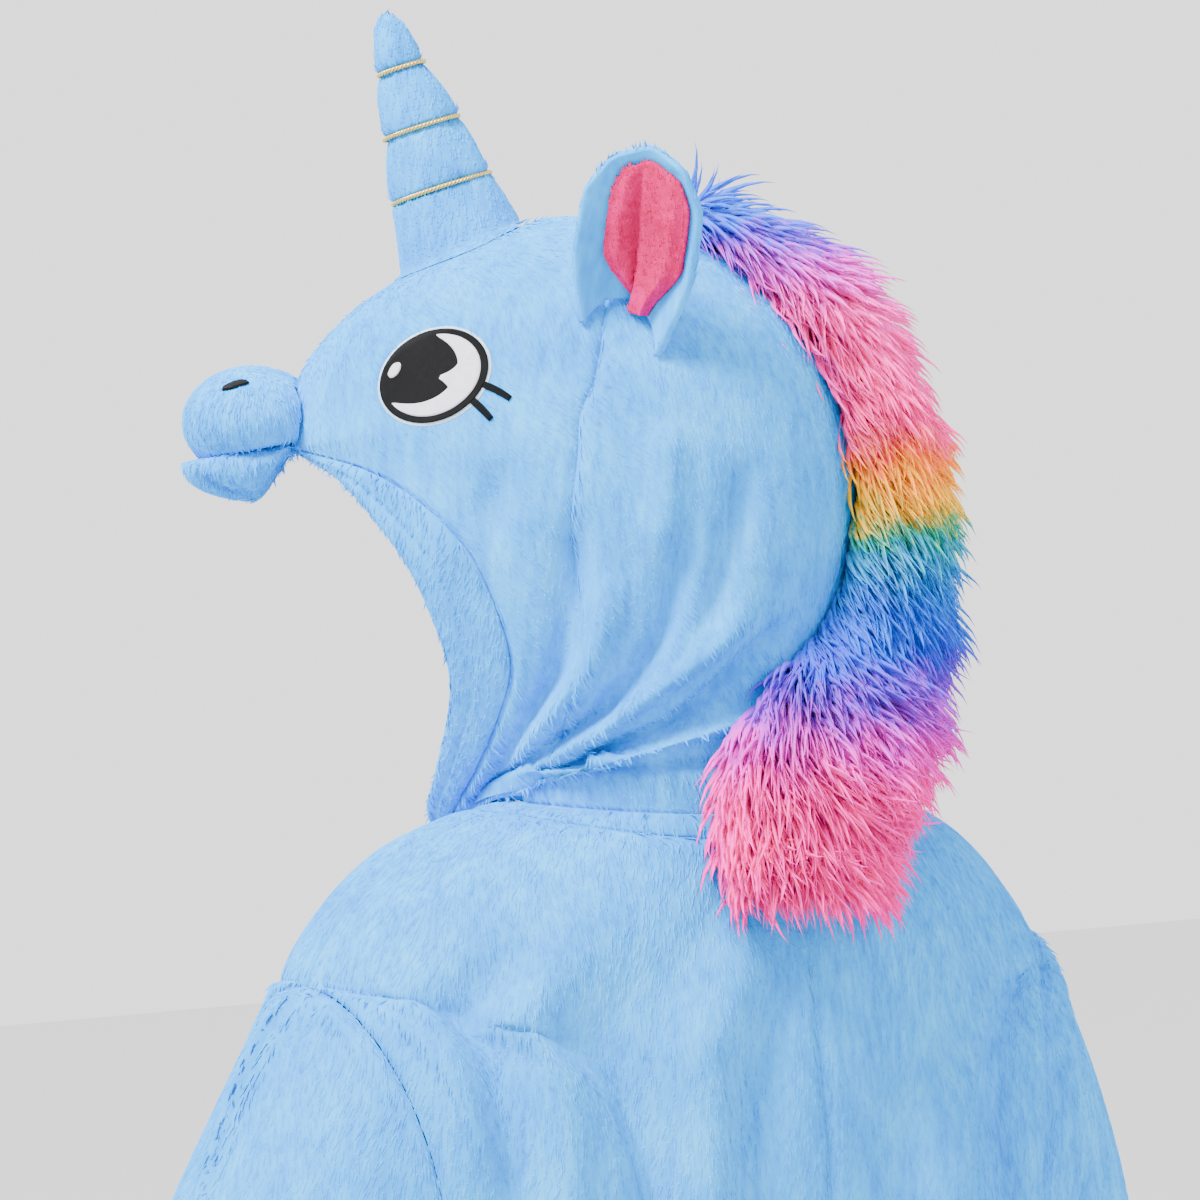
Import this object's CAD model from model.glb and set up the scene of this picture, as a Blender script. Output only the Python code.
# %% [markdown]
# # A plush horse-headed onesie, worn by nobody
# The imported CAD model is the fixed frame: closed walls for every piece of cloth, at their real
# size. Blender adds what cloth has and a solid lacks: nap, folds, stitches, embroidery, cords and
# fur. Every panel is made again here from the same sections as in the CAD, only finer, so each new
# piece lies where its solid lies.

import math

import bpy
import numpy as np
from mathutils import Matrix, Vector
from mathutils.bvhtree import BVHTree


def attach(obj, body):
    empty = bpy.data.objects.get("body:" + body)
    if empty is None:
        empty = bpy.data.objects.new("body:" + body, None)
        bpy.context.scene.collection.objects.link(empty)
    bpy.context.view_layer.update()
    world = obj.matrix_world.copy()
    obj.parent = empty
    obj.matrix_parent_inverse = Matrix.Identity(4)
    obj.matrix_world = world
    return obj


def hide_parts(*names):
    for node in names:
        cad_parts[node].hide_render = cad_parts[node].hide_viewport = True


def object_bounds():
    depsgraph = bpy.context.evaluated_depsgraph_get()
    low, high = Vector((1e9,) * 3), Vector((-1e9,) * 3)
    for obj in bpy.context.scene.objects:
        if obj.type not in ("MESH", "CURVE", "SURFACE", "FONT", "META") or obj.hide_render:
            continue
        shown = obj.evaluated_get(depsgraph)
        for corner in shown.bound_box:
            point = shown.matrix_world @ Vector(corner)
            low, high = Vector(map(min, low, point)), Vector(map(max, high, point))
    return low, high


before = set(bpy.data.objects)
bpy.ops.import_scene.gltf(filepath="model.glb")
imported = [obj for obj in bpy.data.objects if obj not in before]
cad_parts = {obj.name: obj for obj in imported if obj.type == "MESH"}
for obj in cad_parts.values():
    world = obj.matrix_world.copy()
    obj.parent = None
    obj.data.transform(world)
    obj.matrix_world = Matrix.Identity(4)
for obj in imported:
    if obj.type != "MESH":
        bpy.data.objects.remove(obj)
cad_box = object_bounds()
print("CAD box", cad_box)
SIDES = ((1, "left"), (-1, "right"))  # the sign of x there, and the word in the pieces' names

# %% [markdown]
# ## Camera, light and floor
# The photograph looks at the left side of the hood and at the back of the shoulders, from almost
# level. A long lens far away keeps the near shoulder from swelling. Plush looks soft when the light
# is broad, so the key is a large softbox to the left of the camera, with a fill on the other side
# and a pale room all round.

# %% Camera
AZIMUTH, ELEVATION = 145, 3
AIM = Vector((0.0246, -0.0172, 0.092))
DISTANCE, FRAME_WIDTH = 2.2, 0.54


def way_to(azimuth, elevation):
    """The unit vector towards a place in the sky; an azimuth of 0 is the wearer's front, 90 their left."""
    a, e = math.radians(azimuth), math.radians(elevation)
    return Vector((math.sin(a) * math.cos(e), -math.cos(a) * math.cos(e), math.sin(e)))


back = way_to(AZIMUTH, ELEVATION)
camera = bpy.data.objects.new("camera", bpy.data.cameras.new("camera"))
camera.data.sensor_width = 36
camera.data.lens = 36 * DISTANCE / FRAME_WIDTH
camera.location = AIM + back * DISTANCE
camera.rotation_euler = back.to_track_quat("Z", "Y").to_euler()
bpy.context.scene.collection.objects.link(camera)
bpy.context.scene.camera = camera

# %% Lights and floor
SOFTBOX_DISTANCE = 2.6


def softbox(name, azimuth, elevation, size, power):
    away = way_to(azimuth, elevation)
    light = bpy.data.lights.new(name, "AREA")
    light.shape = "DISK"
    light.size = size
    light.energy = power
    lamp = bpy.data.objects.new(name, light)
    lamp.location = away * SOFTBOX_DISTANCE
    lamp.rotation_euler = away.to_track_quat("Z", "Y").to_euler()
    bpy.context.scene.collection.objects.link(lamp)


softbox("key", 94, 50, 0.9, 190)
softbox("fill", 205, 25, 2.2, 22)
softbox("front_fill", 0, 30, 2.2, 40)
world = bpy.data.worlds.new("room")
world.use_nodes = True
world.node_tree.nodes["Background"].inputs["Color"].default_value = (1, 1, 1, 1)
world.node_tree.nodes["Background"].inputs["Strength"].default_value = 1.95
bpy.context.scene.world = world
floor_mesh = bpy.data.meshes.new("floor")
FLOOR, FLOOR_HALF = cad_box[0][2] - 0.002, 6
corners = [(x * FLOOR_HALF, y * FLOOR_HALF, FLOOR) for x, y in ((-1, -1), (1, -1), (1, 1), (-1, 1))]
floor_mesh.from_pydata(corners, [], [(0, 1, 2, 3)])
floor = bpy.data.objects.new("floor", floor_mesh)
bpy.context.scene.collection.objects.link(floor)

# %% [markdown]
# ## Materials
# Node trees are easier to read as sums than as boxes, so a small class wraps a socket and turns
# Python's operators into Math nodes. Anything else comes from `node`, which takes the node's type,
# its settings and its inputs.

# %% Shader maths
class Value:
    """One output of a node tree, with the operators that make Math nodes."""

    def __init__(self, tree, socket):
        self.tree, self.socket = tree, socket

    def node(self, kind, settings=None, out=0, **inputs):
        made = self.tree.nodes.new(kind)
        for key, value in (settings or {}).items():
            if key == "stops":
                ramp = made.color_ramp
                while len(ramp.elements) < len(value):
                    ramp.elements.new(0.5)
                for element, (place, colour) in zip(ramp.elements, value):
                    element.position, element.color = place, colour
            else:
                setattr(made, key, value)
        for key, value in inputs.items():
            name = int(key[1:]) if key[1:].isdigit() else key.replace("_", " ")
            if isinstance(value, Value):
                self.tree.links.new(value.socket, made.inputs[name])
            else:
                made.inputs[name].default_value = value
        return Value(self.tree, made.outputs[out])

    def math(self, operation, other=0.0):
        return self.node("ShaderNodeMath", {"operation": operation}, i0=self, i1=other)

    def __add__(self, other):
        return self.math("ADD", other)

    def __sub__(self, other):
        return self.math("SUBTRACT", other)

    def __mul__(self, other):
        return self.math("MULTIPLY", other)

    def between(self, low, high):
        """0 below low, 1 above high, straight between."""
        return self.node("ShaderNodeMapRange", i0=self, i1=low, i2=high, i3=0.0, i4=1.0)

    def stretched(self, scale):
        return self.node("ShaderNodeMapping", i3=scale, i0=self)

    def noise(self, scale, detail):
        return self.node("ShaderNodeTexNoise", i0=self, Scale=scale, Detail=detail)

    def ramp(self, *stops):
        return self.node("ShaderNodeValToRGB", {"stops": stops}, i0=self)

    def mix(self, a, b):
        return self.node("ShaderNodeMix", {"data_type": "RGBA"}, out=2, i0=self, i6=a, i7=b)

    def bump(self, strength, distance):
        return self.node("ShaderNodeBump", Strength=strength, Distance=distance, Height=self)

    def into(self, shader, name):
        self.tree.links.new(self.socket, shader.inputs[name])


def rgb(code):
    """The linear colour, as Blender works in, that a hexadecimal code stands for."""
    parts = [int(code[i : i + 2], 16) / 255 for i in (0, 2, 4)]
    return (*[p / 12.92 if p <= 0.04045 else ((p + 0.055) / 1.055) ** 2.4 for p in parts], 1)


def new_material(name, roughness, sheen=0.0, sheen_tint=(1, 1, 1, 1)):
    material = bpy.data.materials.new(name)
    material.use_nodes = True
    tree = material.node_tree
    shader = tree.nodes["Principled BSDF"]
    shader.inputs["Roughness"].default_value = roughness
    shader.inputs["Sheen Weight"].default_value = sheen
    shader.inputs["Sheen Roughness"].default_value = 0.45
    shader.inputs["Sheen Tint"].default_value = sheen_tint
    shader.inputs["Specular IOR Level"].default_value = 0.15
    place = Value(tree, tree.nodes.new("ShaderNodeTexCoord").outputs["Object"])
    return material, shader, place


# %% [markdown]
# Plush is dyed one colour, but its pile leans: brushed one way it shines pale, the other way it
# looks deep, in patches a few centimetres across and in fine streaks along the nap. Two stretched
# noises give the streaks and one broad noise the patches. The pile itself is real geometry further
# down, so the bump here is only its finest grain.

# %% Plush
STREAK = (260, 260, 60)


def plush(name, deep, middle, pale):
    material, shader, place = new_material(name, 0.9, 0.12, pale)
    fine = place.stretched(STREAK).noise(1.0, 3.0)
    locks = place.stretched(tuple(0.3 * s for s in STREAK)).noise(1.0, 2.0)
    patches = place.noise(22.0, 2.0)
    nap = (fine * 0.45 + locks * 0.35 + patches * 0.35).between(0.38, 0.78)
    nap.ramp((0.0, deep), (0.45, middle), (1.0, pale)).into(shader, "Base Color")
    fine.bump(0.35, 0.0012).into(shader, "Normal")
    return material


BLUE = plush("blue_plush", rgb("0484dc"), rgb("0c9cf0"), rgb("36b6f8"))


# %% [markdown]
# ## The garment's surface
# A panel is drawn as its outer face, a grid of points, and given its thickness inwards. The tables
# below are the CAD's own: sections of the body from the neck to the ankle, sections of the hood
# from the neck to the horn, and the sleeves. A smooth curve runs through each column, so a
# fractional row is a place between two sections.

# %% Curves through a table
def slope(before, after):
    mean = (before + after) / 2
    limit = 3 * np.minimum(abs(before), abs(after))
    return np.where(before * after <= 0, 0, np.sign(mean) * np.minimum(abs(mean), limit))


def hermite(t, a, leave, b, arrive):
    """From a to b as t goes from 0 to 1, with the given speeds at the two ends."""
    return (
        (2 * t**3 - 3 * t**2 + 1) * a + (t**3 - 2 * t**2 + t) * leave
        + (3 * t**2 - 2 * t**3) * b + (t**3 - t**2) * arrive
    )


def column(values, row):
    """The value of a column at fractional rows, never past its neighbours."""
    values = np.asarray(values, float)
    last = len(values) - 1
    row = np.asarray(row, float)
    i = np.clip(np.floor(row).astype(int), 0, last - 1)
    t = row - i
    a, b = values[np.maximum(i - 1, 0)], values[i]
    c, d = values[i + 1], values[np.minimum(i + 2, last)]
    start = np.where(i == 0, c - b, slope(b - a, c - b))
    stop = np.where(i == last - 1, c - b, slope(c - b, d - c))
    return hermite(t, b, start, c, stop)


def smooth(t):
    t = np.clip(t, 0, 1)
    return t * t * (3 - 2 * t)


def mixed(a, b, t):
    return a + (b - a) * t


def stacked(x, y, z):
    x, y, z = np.broadcast_arrays(x, y, z)
    return np.stack([x, y, z], -1)


def unit(v):
    return v / np.maximum(np.linalg.norm(v, axis=-1, keepdims=True), 1e-9)


def mirror(p, side):
    return p * np.array([side, 1, 1])


# %% The body's tables, in millimetres
# cb is the centre back, cf the centre front and e the outer edge; turn is how far a section's arc turns on its
# way to the edge, in degrees, and outY how far it bows out at the legs.
BODY = {
    "seamX": [0] * 16 + [1, 4, 9, 15, 22, 28, 38],
    "cbY": [88, 97, 105, 111, 116, 120, 123, 125, 127, 128, 129, 130, 131, 130, 124, 96, 44, 3, 3, 4, 5, 6, 7],
    "cbZ": [3, -22, -48, -76, -104, -132, -160, -188, -216, -244, -270, -320, -380, -440, -500, -550, -582, -606,
            -650, -730, -830, -920, -975],
    "cfY": [-104, -111, -117, -122, -126, -129, -131, -132, -133, -133, -133, -132, -130, -127, -120, -93, -40, 3,
            3, 4, 5, 6, 7],
    "cfZ": [-56, -74, -92, -112, -134, -157, -181, -205, -229, -252, -274, -322, -380, -440, -500, -548, -581,
            -606, -650, -730, -830, -920, -975],
    "eX": [84, 113, 145, 172, 192, 0, 0, 0, 0, 0, 164, 165, 168, 172, 176, 178, 178, 177, 173, 165, 157, 151, 142],
    "eY": [5, 3, 1, 1, 2, 2, 2, 2, 2, 2, 2, 2, 2, 2, 2, 2, 2, 3, 3, 4, 5, 6, 7],
    "eZ": [6, 0, -13, -36, -67, 0, 0, 0, 0, 0, -261, -318, -380, -440, -500, -548, -586, -614, -654, -732, -830,
           -920, -975],
    "turn": [90, 90, 90, 90, 86, 68, 60, 58, 62, 74, 90, 90, 90, 90, 96, 122, 158, 180, 180, 180, 180, 180, 180],
    "outY": [0] * 14 + [8, 60, 98, 106, 98, 86, 78, 73, 62],
}
ARMHOLE_TOP, ARMHOLE_BOTTOM, NECK_BAND_ROW, CROTCH_ROW, LAST_ROW = 4, 10, 0.42, 16.5, 22


def armhole_angle(row):
    return np.pi * (row - ARMHOLE_TOP) / (ARMHOLE_BOTTOM - ARMHOLE_TOP)


def armhole(angle):
    """The armhole's loop: 0 at the shoulder point, a quarter turn at the back, a half turn underarm."""
    x = 178 + 14 * np.cos(angle) - 6 * np.sin(angle) ** 2
    return stacked(x, 2 + 80 * np.sin(angle), -164 + 97 * np.cos(angle))


for r in range(ARMHOLE_TOP + 1, ARMHOLE_BOTTOM):
    BODY["eX"][r], _, BODY["eZ"][r] = armhole(armhole_angle(r))


def body_arc(u, row, way):
    """A body panel's face before its folds. u runs from the centre seam to the outer edge."""
    u, row = np.broadcast_arrays(np.asarray(u, float), np.asarray(row, float))
    cx = np.maximum(0, column(BODY["seamX"], row))
    cy = column(BODY["cbY" if way > 0 else "cfY"], row)
    cz = column(BODY["cbZ" if way > 0 else "cfZ"], row)
    loop = armhole(way * armhole_angle(row))
    by_hole = (row > ARMHOLE_TOP) & (row < ARMHOLE_BOTTOM)
    ex = np.where(by_hole, loop[..., 0], column(BODY["eX"], row))
    ey = np.where(by_hole, loop[..., 1], column(BODY["eY"], row))
    ez = np.where(by_hole, loop[..., 2], column(BODY["eZ"], row))
    turn = np.radians(column(BODY["turn"], row))
    reach = ex - cx
    past_side = reach * np.sin(turn) / (1 - np.cos(turn))
    out_x = np.where(turn > np.pi / 2, past_side, reach / np.maximum(np.sin(turn), 0.01))
    out_y = way * column(BODY["outY"], row)
    phi = u * turn

    def arc(c, e, b):
        a = (e - c - b * np.sin(turn)) / (np.cos(turn) - 1)
        return c - a + a * np.cos(phi) + b * np.sin(phi)

    return stacked(arc(cx, ex, out_x), arc(cy, ey, out_y), mixed(cz, ez, np.sin(u * np.pi / 2) ** 2))


def body_normal(u, row, way):
    """The way out of a body panel; with no sideways part along the centre seams."""
    d = 0.004
    u, row = np.broadcast_arrays(np.asarray(u, float), np.asarray(row, float))
    across = body_arc(np.minimum(u + d, 1), row, way) - body_arc(np.maximum(u - d, 0), row, way)
    down = body_arc(u, np.minimum(row + d, LAST_ROW), way) - body_arc(u, np.maximum(row - d, 0), way)
    n = unit(np.cross(across, down)) * way
    flat = n * np.array([0, 1, 1])
    return np.where(((u < 0.02) & (row < CROTCH_ROW))[..., None], unit(flat), n)


# %% The hood's tables, in millimetres
# turn is how far a section is turned to the left, in degrees; F is forwards, S sideways and H up in the hood's
# own frame; seam is the angle of the seam that parts the front panel from the back one.
HOOD = {
    "turn": [0, 2, 12, 26, 39, 50, 54, 55, 55, 55, 55, 55, 55, 55],
    "backF": [-88, -88, -85, -80, -78, -81, -84, -85, -80, -69, -48, -18, 18, 58],
    "backH": [3, 22, 38, 54, 74, 98, 124, 150, 178, 206, 231, 252, 264, 264],
    "midF": [-5, -6, -5, -4, -2, 2, 8, 14, 20, 28, 40, 58, 76, 88],
    "wide": [84, 86, 86, 88, 91, 93, 94, 94, 92, 88, 82, 70, 52, 28],
    "edgeF": [104, 98, 86, 79, 81, 90, 106, 122, 145, 165, 171, 164, 143, 116],
    "edgeS": [0, 46, 66, 71, 73, 74, 72, 66, 44, 18, 0, 0, 0, 0],
    "edgeH": [-56, -30, -6, 16, 39, 64, 97, 122, 147, 158, 162, 194, 220, 239],
    "seam": [90, 88, 92, 96, 99, 101, 102, 101, 98, 94, 84, 66, 42, 12],
}
HEAD_TURN = math.radians(55)
BAND_NARROWS, BAND_TOP, BROW_ROW, HOOD_LAST = 7.2, 10.45, 10, 13


def hood_turn(row):
    return np.pi - np.arcsin(np.minimum(1, column(HOOD["edgeS"], row) / column(HOOD["wide"], row)))


def hood_section(angle, row):
    full = hood_turn(row)
    mid, forward = column(HOOD["midF"], row), -np.cos(angle)
    rise = (1 - np.cos(angle)) / (1 - np.cos(full))
    behind, ahead = mid - column(HOOD["backF"], row), (column(HOOD["edgeF"], row) - mid) / -np.cos(full)
    reach = np.where(forward < 0, behind, ahead)
    h = mixed(column(HOOD["backH"], row), column(HOOD["edgeH"], row), rise)
    return stacked(mid + forward * reach, column(HOOD["wide"], row) * np.sin(angle), h)


def neck_seam(angle):
    q = np.pi / 2
    p = np.where((angle < q)[..., None], body_arc(angle / q, 0, 1), body_arc(2 - angle / q, 0, -1))
    return stacked(-p[..., 1], p[..., 0], p[..., 2])


def from_hood(p, turn=HEAD_TURN):
    f, s, h = p[..., 0], p[..., 1], p[..., 2]
    return stacked(f * np.sin(turn) + s * np.cos(turn), -f * np.cos(turn) + s * np.sin(turn), h)


def hood_plain(angle, row, side):
    """The hood's face before its folds, led into the neck seam over its lowest rows."""
    angle, row = np.broadcast_arrays(np.asarray(angle, float), np.asarray(row, float))
    p = hood_section(angle, row)
    neck = 1 - smooth(row / 2.5)
    same = angle / hood_turn(row) * np.pi
    p = p + (neck_seam(same) - hood_section(same, np.zeros_like(row))) * neck[..., None]
    return from_hood(p * np.array([1, side, 1]), np.radians(column(HOOD["turn"], row)))


def hood_normal(angle, row, side):
    d = 0.01
    angle, row = np.broadcast_arrays(np.asarray(angle, float), np.asarray(row, float))
    full = hood_turn(row)
    a = np.clip(angle, 0, full)
    across = hood_plain(np.minimum(full, a + d), row, side) - hood_plain(np.maximum(0, a - d), row, side)
    r0, r1, share = np.maximum(0, row - d), np.minimum(HOOD_LAST, row + d), a / full
    up = hood_plain(share * hood_turn(r1), r1, side) - hood_plain(share * hood_turn(r0), r0, side)
    return unit(np.cross(up, across)) * side


def band_start(row):
    """The angle where the face band is sewn on: a tenth short of the edge, and less towards the brow."""
    full = hood_turn(row)
    narrowed = 1 - smooth((row - BAND_NARROWS) / (BAND_TOP - BAND_NARROWS))
    return np.where(row >= BAND_TOP, full, full * (1 - 0.1 * narrowed))


# %% [markdown]
# ## Folds
# Cloth folds start where it is held, run along the pull and fade. Each row of a table is one soft
# ridge or trough: its side (1 left, -1 right, 0 both), the place where it starts, the place where
# it stops, its width and its height. The body's folds are placed, and their widths given, in shares
# of the way from the centre seam and in rows. The hood's are placed in degrees round the section
# and in rows, and their widths are in millimetres. Heights are in millimetres.

# %% Fold tables
def folds_at(folds, side, u, row):
    """The height of all the folds of one side at places u, row."""
    total = np.zeros(np.broadcast(u, row).shape)
    for which, u0, row0, u1, row1, width, height in folds:
        if which and which != side:
            continue
        along = (row - row0) / (row1 - row0)
        across = (u - mixed(u0, u1, np.clip(along, 0, 1))) / width
        total += height * smooth((along + 0.15) / 0.4) * smooth((1.15 - along) / 0.4) * np.exp(-(across**2))
    return total


def pleats_at(pleats, side, across, up):
    """As folds_at, for folds that run any way; across, up and the width are in millimetres."""
    total = np.zeros(np.broadcast(across, up).shape)
    for which, x0, y0, x1, y1, width, height in pleats:
        if which != side:
            continue
        way = np.array([(x1 - x0) * HOOD_DEGREE, (y1 - y0) * HOOD_ROW])
        length = np.linalg.norm(way)
        x, y = across - x0 * HOOD_DEGREE, up - y0 * HOOD_ROW
        along = (x * way[0] + y * way[1]) / length**2
        off = (x * way[1] - y * way[0]) / length / width
        total += height * smooth((along + 0.2) / 0.4) * smooth((1.2 - along) / 0.4) * np.exp(-(off**2))
    return total


BACK_FOLDS = [
    (1, 0.14, 2.2, 0.4, 8.5, 0.06, 8), (1, 0.05, 2.4, 0.27, 8, 0.045, -8), (1, 0.55, 3, 0.86, 7.4, 0.055, -7),
    (1, 0.45, 2.6, 0.72, 8, 0.06, 8), (1, 0.33, 2.6, 0.52, 9, 0.05, -6), (1, 0.7, 3.6, 0.9, 6.6, 0.07, 4.5),
    (1, 0.04, 7, 0.07, 14, 0.05, -9), (1, 0.6, 7, 0.55, 13, 0.08, 7), (-1, 0.3, 2.5, 0.36, 13, 0.09, 9),
    (-1, 0.18, 3, 0.2, 12, 0.07, -7), (-1, 0.6, 2.5, 0.62, 12, 0.08, 9), (-1, 0.46, 4, 0.48, 12, 0.06, -7),
    (-1, 0.85, 4, 0.8, 11, 0.06, 8), (0, 0.5, 11.5, 0.2, 15.5, 0.09, 4), (0, 0.8, 12, 0.5, 16, 0.08, -4),
    (1, 0.42, 3, 0.46, 12, 0.035, -3), (1, 0.9, 4.5, 0.78, 8, 0.03, 3), (-1, 0.74, 3.5, 0.72, 11, 0.035, -4),
    (-1, 0.94, 4.5, 0.9, 8.5, 0.03, -3), (1, 0.2, 1.2, 0.34, 5, 0.05, -2.5), (-1, 0.42, 1.5, 0.4, 5, 0.05, 2.5),
]
FRONT_FOLDS = [
    (0, 0.3, 4, 0.36, 13, 0.09, 6), (0, 0.68, 6, 0.62, 12, 0.09, -7), (1, 0.85, 4.5, 0.5, 8, 0.06, 4),
    (-1, 0.8, 4.2, 0.45, 7.5, 0.06, 4), (0, 0.75, 11, 0.35, 15, 0.08, 4),
]
LEG_FOLDS = [
    (0, 0.15, 17, 0.5, 18.6, 0.12, 6), (0, 0.2, 20.6, 0.8, 20.9, 0.2, 5), (0, 0.1, 21.3, 0.9, 21.5, 0.2, -6),
    (1, 0.3, 18.2, 0.7, 19.4, 0.1, 4), (-1, 0.6, 18.6, 0.25, 19.8, 0.1, 4),
]
HOOD_DEGREE, HOOD_ROW = 1.6, 22  # millimetres in a degree and in a row of the hood
HOOD_FOLDS = [
    (1, 109, 2.0, 107, 4.4, 4.2, -8), (1, 107, 4.2, 100, 6.9, 5.5, -7.5), (1, 108, 2.2, 92, 3.8, 4, -8),
    (1, 93, 3.6, 80, 6.4, 6.5, -7.5), (1, 114, 2.4, 115, 5.8, 5, 6), (1, 103, 3.4, 97, 5.8, 5, 7.5),
    (1, 97, 2.9, 62, 5, 9, 8), (1, 92, 2.6, 57, 3.1, 4.8, -7.5), (1, 59, 2.9, 42, 4.6, 9, -9),
    (1, 90, 1.9, 28, 2.6, 8.5, 7.5), (1, 84, 0.9, 18, 1.3, 6, -4), (1, 72, 5.2, 60, 7.4, 8, -6),
    (1, 120, 5.4, 113, 7.8, 6, -5.5), (1, 86, 6.4, 78, 8.2, 7, 5),
    (-1, 112, 1.8, 104, 5, 5, -9), (-1, 104, 1.6, 78, 4.6, 5, -9), (-1, 108, 3, 96, 6, 6, 7),
    (-1, 92, 1.6, 50, 3.2, 8, 9), (-1, 96, 2.2, 60, 3.6, 5, -7), (-1, 70, 0.8, 20, 1.3, 5, -5),
]


def body_outer(u, row, side, way):
    height = folds_at((BACK_FOLDS if way > 0 else FRONT_FOLDS) + LEG_FOLDS, side, u, row)
    height = height * smooth(u / 0.06) * smooth((1 - u) / 0.08)
    return body_arc(u, row, way) + body_normal(u, row, way) * height[..., None]


def hood_outer(angle, row, side):
    height = pleats_at(HOOD_FOLDS, side, np.degrees(angle) * HOOD_DEGREE, row * HOOD_ROW)
    height = height * smooth(angle / 0.25) * smooth((band_start(row) - angle) / 0.18) * smooth(row / 1.3)
    return hood_plain(angle, row, side) + hood_normal(angle, row, side) * height[..., None]


# %% [markdown]
# ## From grids to cloth
# A shell is two grids of points, the outer face and the same face moved inwards, joined round their
# rims. At a seam the pile of both panels rolls over into the stitching, so near its edges a panel
# is drawn in by a millimetre or two: that groove is what makes a seam read as sewn.

# %% Grid to shell
MM = 0.001
# Millimetres: the thickness of the plush, how far a seam draws it in, and how far from the seam that is felt.
PLUSH, SEAM_GROOVE, GROOVE_FADE = 3, 1.6, 6.0


def linked(name, mesh, material):
    """A smooth-shaded object of one mesh and one material, in the scene."""
    mesh.polygons.foreach_set("use_smooth", [True] * len(mesh.polygons))
    mesh.materials.append(material)
    made = bpy.data.objects.new(name, mesh)
    bpy.context.scene.collection.objects.link(made)
    return made


def applied(thing):
    """The thing with its modifiers turned into plain mesh."""
    seen = thing.evaluated_get(bpy.context.evaluated_depsgraph_get())
    mesh = bpy.data.meshes.new_from_object(seen)
    thing.modifiers.clear()
    thing.data = mesh
    return thing


def dress(thing, slot, *nodes):
    """Rides the frame's only body, takes the place of the solids named, and declares its material's slot."""
    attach(thing, "root")
    if nodes:
        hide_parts(*nodes)


def new_object(name, vertices, faces, material, uvs=None):
    mesh = bpy.data.meshes.new(name)
    vertices = np.asarray(vertices, np.float32)
    faces = np.asarray(faces, np.int32)
    mesh.vertices.add(len(vertices))
    mesh.vertices.foreach_set("co", vertices.ravel())
    mesh.loops.add(faces.size)
    mesh.loops.foreach_set("vertex_index", faces.ravel())
    mesh.polygons.add(len(faces))
    mesh.polygons.foreach_set("loop_start", np.arange(0, faces.size, faces.shape[1], dtype=np.int32))
    mesh.polygons.foreach_set("loop_total", np.full(len(faces), faces.shape[1], np.int32))
    if uvs is not None:
        layer = mesh.uv_layers.new(name="cloth")
        layer.data.foreach_set("uv", np.asarray(uvs, np.float32)[faces.ravel()].ravel())
    mesh.update(calc_edges=True)
    mesh.validate()
    return linked(name, mesh, material)


def turned_out(vertices, faces):
    """Faces with a positive volume inside them."""
    corners = vertices[faces]
    volume = 0.0
    for k in range(1, faces.shape[1] - 1):
        cross = np.cross(corners[:, k], corners[:, k + 1])
        volume += np.einsum("ij,ij->", corners[:, 0], cross)
    return faces if volume > 0 else faces[:, ::-1]


def grid_faces(rows, cols, around):
    i, j = np.meshgrid(np.arange(rows - 1), np.arange(cols if around else cols - 1), indexing="ij")
    k = (j + 1) % cols
    return np.stack([i * cols + j, (i + 1) * cols + j, (i + 1) * cols + k, i * cols + k], -1).reshape(-1, 4)


def capped_faces(rings, sides):
    """Faces of a stack of rings and of the fans that close it, whose two middles are the last two points."""
    first, end = rings * sides, (rings - 1) * sides
    faces = [tuple(f) for f in grid_faces(rings, sides, True)]
    faces += [(first, (j + 1) % sides, j) for j in range(sides)]
    return faces + [(end + j, end + (j + 1) % sides, first + 1) for j in range(sides)]


def plain_object(name, points, faces, material):
    """An object from points in millimetres and faces of any number of corners."""
    mesh = bpy.data.meshes.new(name)
    mesh.from_pydata((points * MM).tolist(), [], faces)
    return linked(name, mesh, material)


def joined(name, parts, material):
    """One object from several closed sets of points and faces, in millimetres."""
    vertices, faces, count = [], [], 0
    for points, these in parts:
        corners = [points[list(f)] for f in these]
        volume = sum(np.dot(c[0], np.cross(c[k], c[k + 1])) for c in corners for k in range(1, len(c) - 1))
        faces += [tuple(i + count for i in (f if volume > 0 else f[::-1])) for f in these]
        vertices.append(points)
        count += len(points)
    return plain_object(name, np.concatenate(vertices), faces, material)


def rim_distance(outer, rims):
    """How far each point of a grid is from the nearest of its grooved rims: left, right, top and bottom."""
    rows, cols = outer.shape[:2]
    step_j = np.linalg.norm(np.diff(outer, axis=1), axis=-1)
    from_left = np.concatenate([np.zeros((rows, 1)), np.cumsum(step_j, 1)], 1)
    step_i = np.linalg.norm(np.diff(outer, axis=0), axis=-1)
    from_top = np.concatenate([np.zeros((1, cols)), np.cumsum(step_i, 0)], 0)
    far = np.full((rows, cols), 1e3)
    distances = (from_left, from_left[:, -1:] - from_left, from_top, from_top[-1:] - from_top)
    for grooved, distance in zip(rims, distances):
        if grooved:
            far = np.minimum(far, distance)
    return far


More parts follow.
